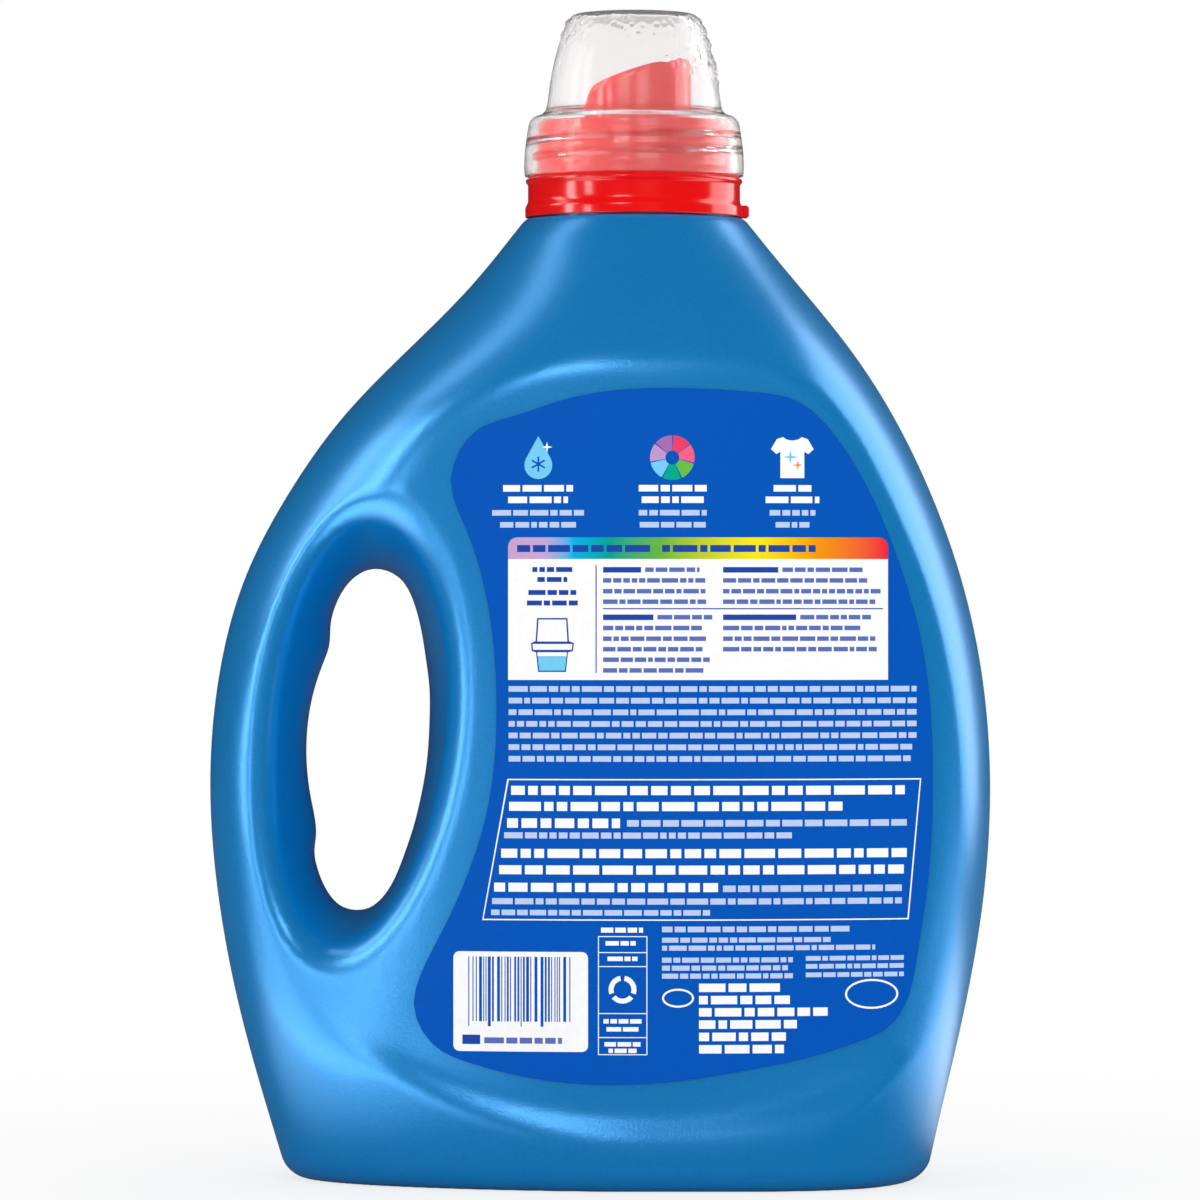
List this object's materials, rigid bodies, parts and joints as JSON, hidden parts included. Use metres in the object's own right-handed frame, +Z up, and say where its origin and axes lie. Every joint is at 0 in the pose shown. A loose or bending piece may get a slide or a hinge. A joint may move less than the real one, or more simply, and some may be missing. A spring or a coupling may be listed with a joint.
{
  "type": "laundry detergent bottle",
  "caption": "Blow-moulded bottle with a side handle hole, flat label panels, a drain-back pouring spout and a translucent screw cap that doubles as a measuring cup.",
  "frame": {"origin": "on the ground under the centre of the bounding box", "axes": "+Z up through the neck, -X towards the handle, -Y towards the instruction label"},
  "size_m": [0.1948, 0.1034, 0.2909],
  "materials": {
    "bottle_blue": "satin",
    "closure_red": "gloss",
    "cap_clear": "satin",
    "label_blue": "satin"
  },
  "bodies": {
    "bottle": {"bottle": "bottle_blue", "pour_spout": "closure_red", "back_label": "label_blue", "front_label": "label_blue"},
    "cap": {"dosing_cap": "cap_clear"}
  },
  "joints": [
    {"name": "cap_lift", "type": "slide", "parent": "bottle", "child": "cap", "axis": [0, 0, 1], "range_m": [0, 0.06]}
  ]
}
